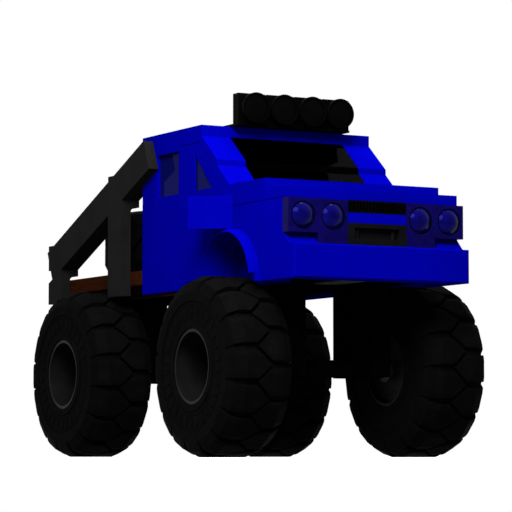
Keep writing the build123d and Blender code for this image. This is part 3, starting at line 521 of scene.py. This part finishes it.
def close_mesh(piece):
    """Merges doubles, turns faces outward and smooths shallow edges."""
    bpy.context.view_layer.objects.active = piece
    edit_all()
    bpy.ops.mesh.remove_doubles(threshold=MERGE_DISTANCE)
    bpy.ops.mesh.normals_make_consistent(inside=False)
    end_edit()
    bpy.ops.object.shade_smooth_by_angle(angle=SMOOTH_ANGLE)
    return piece


def join(pieces):
    """Joins pieces into the first of them."""
    clear_selection()
    for piece in pieces:
        piece.select_set(True)
    bpy.context.view_layer.objects.active = pieces[0]
    bpy.ops.object.join()
    return pieces[0]


def copies(source, name, offsets):
    """Copies of a piece, each with its own mesh moved by an offset, joined into one."""
    made = []
    for offset in offsets:
        clear_selection()
        source.select_set(True)
        bpy.context.view_layer.objects.active = source
        bpy.ops.object.duplicate(linked=False)
        copy = bpy.context.object
        copy.location = offset
        bpy.ops.object.transform_apply(location=True, rotation=False, scale=False)
        made.append(copy)
    joined = rename(join(made), name)
    bpy.data.objects.remove(source)
    return joined


def turned(name, centre, axis, profile, steps):
    """A turned piece: a ring at the first (radius, distance), extruded ring by ring along the axis."""
    clear_selection()
    centre = Vector(centre)
    axis = Vector(axis).normalized()
    radius, distance = profile[0]
    ends_in_point = profile[-1][0] == 0
    bpy.ops.mesh.primitive_circle_add(
        vertices=steps,
        radius=radius,
        fill_type="NGON" if ends_in_point else "NOTHING",
        location=centre + axis * distance,
        rotation=axis.to_track_quat("Z", "Y").to_euler(),
    )
    piece = apply_place(bpy.context.object, name)
    edit_all()
    for next_radius, next_distance in profile[1:]:
        step = axis * (next_distance - distance)
        bpy.ops.mesh.extrude_region_move(TRANSFORM_OT_translate={"value": tuple(step)})
        if next_radius == 0:
            bpy.ops.mesh.merge(type="CENTER")
        elif next_radius != radius:
            ratio = next_radius / radius
            middle = centre + axis * next_distance
            bpy.ops.transform.resize(value=(ratio, ratio, ratio), center_override=tuple(middle))
        radius, distance = next_radius, next_distance
    end_edit()
    return close_mesh(piece)


def placed(profile, distance=0.0, scale=1.0):
    """A turned piece's profile with its radii scaled and its distances moved."""
    return [(radius * scale, distance + along) for radius, along in profile]


def rounded_block(name, low, high, bevel, segments=3):
    """A block between two corners with rounded edges."""
    clear_selection()
    low = Vector(low)
    high = Vector(high)
    bpy.ops.mesh.primitive_cube_add(size=1.0, location=(low + high) / 2)
    piece = bpy.context.object
    piece.scale = high - low
    apply_place(piece, name)
    edit_all()
    bpy.ops.mesh.bevel(offset=bevel, segments=segments, affect="EDGES")
    end_edit()
    return close_mesh(piece)


def wheel_places(kind):
    """Yields the place, middle, outward axis, half width and body of each rim or tyre, the spare's last."""
    for place, body in WHEELS.items():
        low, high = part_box(kind + "_" + place)
        centre = (low + high) / 2
        outward = Vector(ACROSS) * math.copysign(1, centre.y)
        yield place, centre, outward, (high.y - low.y) / 2, body
    low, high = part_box("spare_" + kind)
    yield "spare", (low + high) / 2, Vector(UP), (high.z - low.z) / 2, "chassis"


# Operators


class CRAWLER_OT_paint(bpy.types.Operator):
    """Gives every CAD solid the finish of its material slot"""

    bl_idname = "crawler.paint"
    bl_label = "Paint the solids"

    def execute(self, context):
        for row in frame["record"]["subparts"]:
            finish = NODE_FINISHES.get(row["node"], row["material_slot"])
            dress(frame["nodes"][row["node"]], finish)
        return {"FINISHED"}


class CRAWLER_OT_bench(bpy.types.Operator):
    """Bench seat: a base cushion and a backrest with sewn channels"""

    bl_idname = "crawler.bench"
    bl_label = "Bench cushions"

    SEAT_HEIGHT = 0.33
    BACK_DEPTH = 0.17
    # The block starts smaller than its box by the inset, and swells by less than that
    INSET = 0.018
    SWELL_LIMIT = 0.017
    ROUNDING = 0.05
    VOXEL = 0.02
    PRESSURE = 4.0
    LAST_FRAME = 18
    CHANNELS = 8
    SEAM_REACH = 0.012

    def stuff(self, piece):
        """Blows a cushion up by a short cloth run."""
        cloth = piece.modifiers.new("stuffing", "CLOTH")
        cloth.settings.use_pressure = True
        cloth.settings.uniform_pressure_force = self.PRESSURE
        cloth.settings.effector_weights.gravity = 0.0
        for step in range(1, self.LAST_FRAME + 1):
            bpy.context.scene.frame_set(step)
        bpy.ops.object.modifier_apply(modifier=cloth.name)
        bpy.context.scene.frame_set(1)

    def sew(self, piece, before, low, high, thin):
        """Limits the swelling and sinks the sewn channels into the open face."""
        seam = context_sizes().seam
        pitch = (high[1] - low[1]) / self.CHANNELS
        for vertex, start in zip(piece.data.vertices, before):
            move = vertex.co - start
            if move.length > self.SWELL_LIMIT:
                vertex.co = start + move.normalized() * self.SWELL_LIMIT
            across = ((vertex.co.y - low[1]) / pitch) % 1.0
            nearest = min(across, 1.0 - across) * pitch
            sunk = seam * math.exp(-((nearest / self.SEAM_REACH) ** 2))
            vertex.co[thin] -= sunk * self.outside(vertex.co, low, high, thin)

    def outside(self, place, low, high, thin):
        """1 at the cushion's open face, falling to 0 at its middle and behind it."""
        share = (place[thin] - low[thin]) / (high[thin] - low[thin])
        return max(0.0, min(1.0, (share - 0.5) * 2))

    def cushion(self, name, low, high, thin):
        """A stuffed and sewn cushion in a box, whose open face looks along the axis named by thin."""
        inset = Vector((self.INSET, self.INSET, self.INSET))
        piece = rounded_block(name, Vector(low) + inset, Vector(high) - inset, self.ROUNDING)
        piece.data.remesh_voxel_size = self.VOXEL
        bpy.ops.object.voxel_remesh()
        before = [vertex.co.copy() for vertex in piece.data.vertices]
        self.stuff(piece)
        self.sew(piece, before, low, high, thin)
        smooth = piece.modifiers.new("soft", "SUBSURF")
        smooth.levels = 1
        smooth.render_levels = 1
        bpy.ops.object.modifier_apply(modifier=smooth.name)
        bpy.ops.object.shade_smooth()
        return piece

    def execute(self, context):
        low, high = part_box("bench_seat")
        seat_top = low.z + self.SEAT_HEIGHT
        back_face = low.x + self.BACK_DEPTH
        base = self.cushion("bench_cushion", (back_face, low.y, low.z), (high.x, high.y, seat_top), Z_INDEX)
        fit(base, "chassis", "seat_vinyl")
        back = self.cushion("bench_backrest", (low.x, low.y, low.z), (back_face, high.y, high.z), X_INDEX)
        fit(back, "chassis", "seat_vinyl")
        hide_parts("bench_seat")
        return {"FINISHED"}


class CRAWLER_OT_hubs(bpy.types.Operator):
    """Wheel nuts round each disc and a cap over each spindle end"""

    bl_idname = "crawler.hubs"
    bl_label = "Hub hardware"

    # Distance from a rim's middle to its disc, along the outward axis
    DISC_FACE = -0.225
    NUT_CORNERS = 6
    # Washer, flats, chamfer and stud, as shares of the nut's size and heights over the disc
    NUT_PROFILE = (
        (1.35, 0.0),
        (1.3, 0.006),
        (1.0, 0.007),
        (1.0, 0.026),
        (0.8, 0.031),
        (0.5, 0.031),
        (0.48, 0.042),
        (0.0, 0.044),
    )
    CAP_STEPS = 40
    CAP_PROFILE = (
        (0.07, 0.032),
        (0.07, 0.036),
        (0.064, 0.042),
        (0.05, 0.05),
        (0.03, 0.055),
        (0.012, 0.057),
        (0.0, 0.0575),
    )

    def wheel(self, place, centre, axis, body):
        """Hardware of one wheel."""
        sizes = context_sizes()
        side = axis.orthogonal().normalized()
        other = axis.cross(side)
        profile = placed(self.NUT_PROFILE, self.DISC_FACE, sizes.nut_size)
        nut = turned("nut", centre, axis, profile, self.NUT_CORNERS)
        offsets = []
        for step in range(sizes.nut_count):
            turn = 2 * math.pi * step / sizes.nut_count
            offsets.append((side * math.cos(turn) + other * math.sin(turn)) * sizes.nut_circle)
        fit(copies(nut, "wheel_nuts_" + place, offsets), body, "bare_steel")
        profile = placed(self.CAP_PROFILE, self.DISC_FACE)
        fit(turned("hub_cap_" + place, centre, axis, profile, self.CAP_STEPS), body, "bare_steel")

    def execute(self, context):
        for place, centre, axis, _, body in wheel_places("rim"):
            self.wheel(place, centre, axis, body)
        return {"FINISHED"}


class CRAWLER_OT_sidewalls(bpy.types.Operator):
    """Raised bars and two thin rings in the sunk band of each tyre's outer sidewall"""

    bl_idname = "crawler.sidewalls"
    bl_label = "Sidewall ribs"

    BELOW_FACE = 0.002
    RIB_ROUNDING = 0.0028
    RIB_SEGMENTS = 2
    RING_STEPS = 96
    # From the end of a rib to the middle of the ring beside it
    RING_OFFSET = 0.018
    RING_FOOT = 0.006
    RING_TOP = 0.003
    # Below the ribs' crests
    RING_SHOULDER = 0.0045
    RING_CREST = 0.0025

    def bars(self, name, centre, axis, floor, crest):
        """One rounded bar, spun into all the bars of a sidewall."""
        sizes = context_sizes()
        radial = Vector(FORWARD) if axis.z else Vector(UP)
        across = axis.cross(radial)
        corners = (
            centre + radial * sizes.rib_inner + axis * floor - across * sizes.rib_width / 2,
            centre + radial * sizes.rib_outer + axis * crest + across * sizes.rib_width / 2,
        )
        low = [min(pair) for pair in zip(*corners)]
        high = [max(pair) for pair in zip(*corners)]
        bars = rounded_block(name, low, high, self.RIB_ROUNDING, self.RIB_SEGMENTS)
        edit_all()
        more = sizes.rib_count - 1
        turn = 2 * math.pi * more / sizes.rib_count
        bpy.ops.mesh.spin(steps=more, dupli=True, angle=turn, center=centre, axis=axis)
        end_edit()
        return bars

    def ring(self, centre, axis, radius, floor, crest):
        """A thin ring with sloped shoulders."""
        profile = (
            (radius + self.RING_FOOT, floor),
            (radius + self.RING_FOOT, crest - self.RING_SHOULDER),
            (radius + self.RING_TOP, crest - self.RING_CREST),
            (radius - self.RING_TOP, crest - self.RING_CREST),
            (radius - self.RING_FOOT, crest - self.RING_SHOULDER),
            (radius - self.RING_FOOT, floor),
            (radius + self.RING_FOOT, floor),
        )
        return turned("ring", centre, axis, profile, self.RING_STEPS)

    def execute(self, context):
        sizes = context_sizes()
        for place, centre, axis, half_width, body in wheel_places("tyre"):
            crest = half_width - self.BELOW_FACE
            floor = crest - sizes.band_depth
            bars = self.bars("sidewall_ribs_" + place, centre, axis, floor, crest)
            inner = self.ring(centre, axis, sizes.rib_inner - self.RING_OFFSET, floor, crest)
            outer = self.ring(centre, axis, sizes.rib_outer + self.RING_OFFSET, floor, crest)
            fit(join((bars, inner, outer)), body, "tyre_rubber")
        return {"FINISHED"}


class CRAWLER_OT_arch_lips(bpy.types.Operator):
    """Sloped lip on the face of each fender's flare, which ends above the steered tyre"""

    bl_idname = "crawler.arch_lips"
    bl_label = "Arch lips"

    # Angle over the sill at which the lip starts and ends
    START = math.radians(9.0)
    STEPS = 54
    INNER_GAP = 0.001
    OUTER_GAP = 0.0005
    EDGE_WIDTH = 0.005
    ROOT = 0.002

    def lip(self, name, centre, side, face):
        """A disc set as the lip's section at its front end, then spun over the arch."""
        sizes = context_sizes()
        inner = sizes.arch + self.INNER_GAP
        outer = sizes.flare - self.OUTER_GAP
        section = (
            (inner, face - self.ROOT),
            (outer, face - self.ROOT),
            (outer, face),
            (inner + self.EDGE_WIDTH, face + sizes.lip),
            (inner, face + sizes.lip),
        )
        clear_selection()
        bpy.ops.mesh.primitive_circle_add(
            vertices=len(section), radius=1.0, fill_type="NGON", location=centre
        )
        piece = apply_place(bpy.context.object, name)
        for vertex, (radius, out) in zip(piece.data.vertices, section):
            along = Vector((math.cos(self.START), 0, math.sin(self.START))) * radius
            vertex.co = centre + along + Vector((0, side * out, 0))
        edit_all()
        turn = math.pi - 2 * self.START
        bpy.ops.mesh.spin(steps=self.STEPS, angle=turn, center=centre, axis=ACROSS)
        bpy.ops.mesh.select_all(action="SELECT")
        bpy.ops.mesh.remove_doubles(threshold=MERGE_DISTANCE)
        bpy.ops.mesh.fill_holes(sides=0)
        end_edit()
        fit(close_mesh(piece), "chassis", "body_blue")

    def execute(self, context):
        for place, side in SIDES.items():
            low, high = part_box("fender_" + place)
            wheel_low, wheel_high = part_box("tyre_front_" + place)
            centre = Vector(((wheel_low.x + wheel_high.x) / 2, 0, low.z))
            face = max(abs(low.y), abs(high.y))
            self.lip("arch_lip_" + place, centre, side, face)
        return {"FINISHED"}


class CRAWLER_OT_gauges(bpy.types.Operator):
    """Three round gauges on the slope of the dashboard, before the driver"""

    bl_idname = "crawler.gauges"
    bl_label = "Dashboard gauges"

    COUNT = 3
    PITCH = 0.075
    FACING = (-1, 0, 1)
    STEPS = 32
    # Bezel, dial and the boss of the needle
    PROFILE = (
        (0.028, -0.004),
        (0.028, 0.005),
        (0.0265, 0.0075),
        (0.0245, 0.0075),
        (0.0235, 0.003),
        (0.006, 0.003),
        (0.005, 0.0055),
        (0.0, 0.006),
    )

    def execute(self, context):
        low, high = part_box("dashboard")
        wheel_low, wheel_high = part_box("steering_wheel")
        driver = (wheel_low.y + wheel_high.y) / 2
        slope = context_sizes().dash_slope / 2
        for number in range(self.COUNT):
            across = (number - (self.COUNT - 1) / 2) * self.PITCH
            place = (low.x + slope, driver + across, high.z - slope)
            gauge = turned("gauge_%d" % number, place, self.FACING, self.PROFILE, self.STEPS)
            fit(gauge, "chassis", "cab_plastic")
        return {"FINISHED"}


class CRAWLER_OT_head_lamps(bpy.types.Operator):
    """Head lamps: a bezel and a glossy dome in each bowl"""

    bl_idname = "crawler.head_lamps"
    bl_label = "Head lamps"

    # Middles of the bowls across the nose, and below the top of the lamp blocks
    PLACES = (-0.75, -0.45, 0.45, 0.75)
    DROP = 0.15
    BOWL = 0.122
    GAP = 0.001
    # Share of the bezel's width from the bowl to its crest
    CREST_SHARE = 0.4
    STEPS = 48
    DOME_STEPS = 8
    # Distances behind the nose
    BEZEL_BACK = 0.02
    BEZEL_RIM = 0.004
    BEZEL_CREST = 0.001
    BEZEL_LIP = 0.005
    DOME_BACK = 0.012
    DOME_EDGE = 0.004

    def bezel(self):
        """Profile of the bezel: its outer wall, a crest and its inner wall."""
        width = context_sizes().bezel
        outer = self.BOWL - self.GAP
        inner = self.BOWL - width
        return (
            (outer, -self.BEZEL_BACK),
            (outer, -self.BEZEL_RIM),
            (self.BOWL - width * self.CREST_SHARE, -self.BEZEL_CREST),
            (inner, -self.BEZEL_LIP),
            (inner, -self.BEZEL_BACK),
            (outer, -self.BEZEL_BACK),
        )

    def dome(self):
        """Profile of a round dome on a short wall."""
        sizes = context_sizes()
        radius = self.BOWL - sizes.bezel - self.GAP
        rise = sizes.dome
        ball = (radius * radius + rise * rise) / (2 * rise)
        edge = math.asin(radius / ball)
        profile = [(radius, -self.DOME_BACK)]
        for step in range(self.DOME_STEPS):
            turn = edge * (1 - step / self.DOME_STEPS)
            height = ball * math.cos(turn) - (ball - rise)
            profile.append((ball * math.sin(turn), height - self.DOME_EDGE))
        profile.append((0, rise - self.DOME_EDGE))
        return profile

    def execute(self, context):
        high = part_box("head_lamps")[1]
        for number, across in enumerate(self.PLACES):
            centre = (high.x, across, high.z - self.DROP)
            bezel = turned("lamp_bezel_%d" % number, centre, FORWARD, self.bezel(), self.STEPS)
            fit(bezel, "chassis", "lamp_black")
            dome = turned("lamp_glass_%d" % number, centre, FORWARD, self.dome(), self.STEPS)
            fit(dome, "chassis", "lamp_lens", "lamp_dome")
        return {"FINISHED"}


class CRAWLER_OT_roof_lamps(bpy.types.Operator):
    """Roof lamps: a smoked lens in each rim"""

    bl_idname = "crawler.roof_lamps"
    bl_label = "Roof lamps"

    COUNT = 4
    PITCH = 0.3
    # The lens sits in a recess of the lamp's front
    SEAT_DEPTH = 0.019
    RIM_WIDTH = 0.015
    WALL = 0.003
    STEPS = 48
    # Shares of the lamp's radius and of the crown
    CURVE = ((0.72, 0.52), (0.5, 0.78), (0.25, 0.94), (0.08, 1.0), (0.0, 1.0))

    def execute(self, context):
        low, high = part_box("roof_lamps")
        crown = context_sizes().crown
        middle = (low.z + high.z) / 2
        radius = (high.z - low.z) / 2
        edge = radius - self.RIM_WIDTH
        profile = [(edge, 0), (edge, self.WALL)]
        for reach, rise in self.CURVE:
            profile.append((radius * reach, crown * rise))
        for number in range(self.COUNT):
            across = (number - (self.COUNT - 1) / 2) * self.PITCH
            centre = (high.x - self.SEAT_DEPTH, across, middle)
            lens = turned("roof_lens_%d" % number, centre, FORWARD, profile, self.STEPS)
            fit(lens, "chassis", "lamp_black")
        return {"FINISHED"}


class CRAWLER_OT_mirrors(bpy.types.Operator):
    """Wing mirror glass in the seat at the back of each housing"""

    bl_idname = "crawler.mirrors"
    bl_label = "Mirror glass"

    # Edges of the pane from the middle of the crawler, and its margin in height
    INNER = 0.924
    OUTER = 1.176
    MARGIN = 0.024
    # Distances before the back of the housing
    PANE_BACK = 0.003
    PANE_FRONT = 0.0078
    ROUNDING = 0.0015

    def execute(self, context):
        low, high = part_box("wing_mirrors")
        for place, side in SIDES.items():
            right, left = sorted((side * self.INNER, side * self.OUTER))
            pane = rounded_block(
                "mirror_glass_" + place,
                (low.x + self.PANE_BACK, right, low.z + self.MARGIN),
                (low.x + self.PANE_FRONT, left, high.z - self.MARGIN),
                self.ROUNDING,
            )
            fit(pane, "chassis", "bare_steel", "mirror")
        return {"FINISHED"}


class CRAWLER_OT_deck_screws(bpy.types.Operator):
    """Screw heads that hold each plank to the cross bearers"""

    bl_idname = "crawler.deck_screws"
    bl_label = "Deck screws"

    BEARERS = 5
    PLANKS = 10
    # From the deck's ends to the first and last row of screws
    FRONT_MARGIN = 0.05
    REAR_MARGIN = 0.125
    # From a plank's middle to each of its two screws
    OFF_MIDDLE = 0.045
    STEPS = 8
    # Shares of the screw's radius and heights over the deck
    PROFILE = ((1.0, -0.001), (0.95, 0.0012), (0.6, 0.0026), (0.0, 0.003))

    def execute(self, context):
        low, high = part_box("timber_deck")
        profile = placed(self.PROFILE, scale=context_sizes().screw)
        head = turned("screw", (0, 0, high.z), UP, profile, self.STEPS)
        first = high.x - self.FRONT_MARGIN
        pitch = (first - (low.x + self.REAR_MARGIN)) / (self.BEARERS - 1)
        offsets = []
        for bearer in range(self.BEARERS):
            for plank in range(self.PLANKS):
                middle = PLANK_WIDTH * (plank + 0.5 - self.PLANKS / 2)
                for off in (-self.OFF_MIDDLE, self.OFF_MIDDLE):
                    offsets.append(Vector((first - bearer * pitch, middle + off, 0)))
        fit(copies(head, "deck_screws", offsets), "chassis", "bare_steel", "engine_iron")
        return {"FINISHED"}


class CRAWLER_OT_stage(bpy.types.Operator):
    """Pale floor, soft studio light and the camera at the photograph's angle"""

    bl_idname = "crawler.stage"
    bl_label = "Stage"

    FLOOR_SIZE = 120.0
    FLOOR_GLOW = 0.79
    # What the floor throws back onto the crawler
    FLOOR_BOUNCE = (0.2, 0.2, 0.2)
    FLOOR_TONES = ((0.3, (0.8, 0.8, 0.8)), (0.7, (0.82, 0.82, 0.82)))
    WHITE = (1, 1, 1, 1)
    KEY = {"place": (8.4, -6.2, 8.2), "target": (0.3, 0, 1.5), "size": 5.0}
    OVERHEAD = {"place": (1.0, 0.0, 11.0), "target": (0, 0, 1.5), "size": 6.0}
    CAMERA_PLACE = (21.56, -11.921)
    CAMERA_HEADING = (-0.8738, 0.4863, 0.0)
    CAMERA_REACH = 24.6
    SENSOR_WIDTH = 36.0
    CLIP_END = 200.0

    def floor(self):
        """A wide floor that looks white but throws back little light."""
        clear_selection()
        bpy.ops.mesh.primitive_plane_add(size=self.FLOOR_SIZE, location=(0, 0, 0))
        floor = rename(bpy.context.object, "floor")
        finish = Finish("pale_floor")
        pale = finish.ramp(finish.noise(scale=2.0), self.FLOOR_TONES)
        seen = seen_directly(finish.nodes, finish.links)
        finish.base(finish.blend(seen, self.FLOOR_BOUNCE, pale))
        glow = finish.math("MULTIPLY", seen, self.FLOOR_GLOW)
        finish.links.new(glow, finish.shader.inputs["Emission Strength"])
        finish.set(Emission_Color=self.WHITE, Roughness=0.9, Specular_IOR_Level=0.0)
        floor.data.materials.append(finish.material)

    def room(self, ambient):
        """World light: white where it is seen, dimmer where it lights."""
        world = bpy.data.worlds.new("studio")
        bpy.context.scene.world = world
        world.use_nodes = True
        nodes = world.node_tree.nodes
        links = world.node_tree.links
        strength = nodes.new("ShaderNodeMapRange")
        strength.inputs["To Min"].default_value = ambient
        strength.inputs["To Max"].default_value = 1.0
        links.new(seen_directly(nodes, links), strength.inputs["Value"])
        background = nodes["Background"]
        background.inputs["Color"].default_value = self.WHITE
        links.new(strength.outputs["Result"], background.inputs["Strength"])

    def lamp(self, name, watts, place, target, size):
        """A soft square lamp turned to a point."""
        data = bpy.data.lights.new(name, "AREA")
        data.shape = "SQUARE"
        data.size = size
        data.energy = watts
        lamp = bpy.data.objects.new(name, data)
        bpy.context.scene.collection.objects.link(lamp)
        lamp.location = place
        lamp.rotation_euler = (Vector(target) - Vector(place)).to_track_quat("-Z", "Y").to_euler()

    def camera(self, stage):
        """The camera near the floor, turned to a point over the crawler's middle."""
        data = bpy.data.cameras.new("camera")
        data.lens = stage.lens
        data.sensor_width = self.SENSOR_WIDTH
        data.clip_end = self.CLIP_END
        camera = bpy.data.objects.new("camera", data)
        bpy.context.scene.collection.objects.link(camera)
        camera.location = (*self.CAMERA_PLACE, stage.height)
        aim = camera.location + Vector(self.CAMERA_HEADING).normalized() * self.CAMERA_REACH
        aim.z = stage.aim
        camera.rotation_euler = (aim - camera.location).to_track_quat("-Z", "Y").to_euler()
        bpy.context.scene.camera = camera

    def execute(self, context):
        stage = context.scene.crawler_stage
        self.floor()
        self.room(stage.ambient)
        self.lamp("key", stage.key, **self.KEY)
        self.lamp("overhead", stage.top, **self.OVERHEAD)
        self.camera(stage)
        context.scene.view_settings.view_transform = "Standard"
        return {"FINISHED"}


class CRAWLER_PT_panel(bpy.types.Panel):
    """Lists the steps that dress the crawler"""

    bl_idname = "CRAWLER_PT_panel"
    bl_label = "Crawler"
    bl_space_type = "VIEW_3D"
    bl_region_type = "UI"
    bl_category = "Crawler"

    def draw(self, context):
        for operator in OPERATORS:
            self.layout.operator(operator.bl_idname)
        for group in ("crawler_colours", "crawler_sizes", "crawler_stage"):
            settings = getattr(context.scene, group)
            for name in settings.bl_rna.properties.keys():
                if name not in ("rna_type", "name"):
                    self.layout.prop(settings, name)


OPERATORS = (
    CRAWLER_OT_paint,
    CRAWLER_OT_bench,
    CRAWLER_OT_hubs,
    CRAWLER_OT_sidewalls,
    CRAWLER_OT_arch_lips,
    CRAWLER_OT_gauges,
    CRAWLER_OT_head_lamps,
    CRAWLER_OT_roof_lamps,
    CRAWLER_OT_mirrors,
    CRAWLER_OT_deck_screws,
    CRAWLER_OT_stage,
)
CLASSES = (CrawlerColours, CrawlerSizes, CrawlerStage, *OPERATORS, CRAWLER_PT_panel)


def register():
    """Registers the settings, steps and panel."""
    for item in CLASSES:
        bpy.utils.register_class(item)
    bpy.types.Scene.crawler_colours = PointerProperty(type=CrawlerColours)
    bpy.types.Scene.crawler_sizes = PointerProperty(type=CrawlerSizes)
    bpy.types.Scene.crawler_stage = PointerProperty(type=CrawlerStage)


def unregister():
    """Removes what register added."""
    del bpy.types.Scene.crawler_stage
    del bpy.types.Scene.crawler_sizes
    del bpy.types.Scene.crawler_colours
    for item in reversed(CLASSES):
        bpy.utils.unregister_class(item)


def main():
    """Dresses the crawler."""
    register()
    bpy.ops.crawler.paint()
    bpy.ops.crawler.bench()
    bpy.ops.crawler.hubs()
    bpy.ops.crawler.sidewalls()
    bpy.ops.crawler.arch_lips()
    bpy.ops.crawler.gauges()
    bpy.ops.crawler.head_lamps()
    bpy.ops.crawler.roof_lamps()
    bpy.ops.crawler.mirrors()
    bpy.ops.crawler.deck_screws()
    bpy.ops.crawler.stage()


if __name__ == "__main__":
    main()
